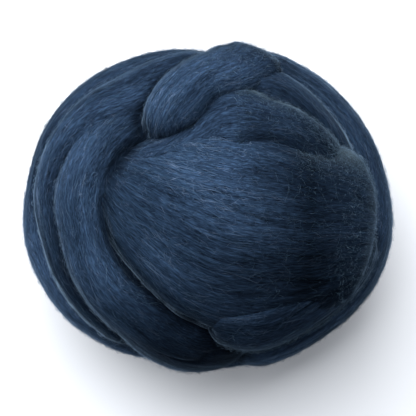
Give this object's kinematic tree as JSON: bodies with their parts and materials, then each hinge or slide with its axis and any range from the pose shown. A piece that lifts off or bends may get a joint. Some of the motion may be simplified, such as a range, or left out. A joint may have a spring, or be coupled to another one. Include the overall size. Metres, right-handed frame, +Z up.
{
  "type": "wool roving nest",
  "caption": "Length of combed wool roving wound by hand into a loose, flattened nest with broad soft wraps and one wide wrap over the top, standing on a small flat spot.",
  "frame": {"origin": "middle of the nest's plan box at the surface it stands on, z = 0 at its flat spot", "axes": "+X along the nest's longest extent, +Y across it towards the back, +Z up, its shortest extent"},
  "size_m": [0.1608, 0.1408, 0.0882],
  "materials": {
    "wool": "soft matte combed fibre, dark navy"
  },
  "bodies": {
    "root": {"roving": "wool"}
  },
  "joints": []
}
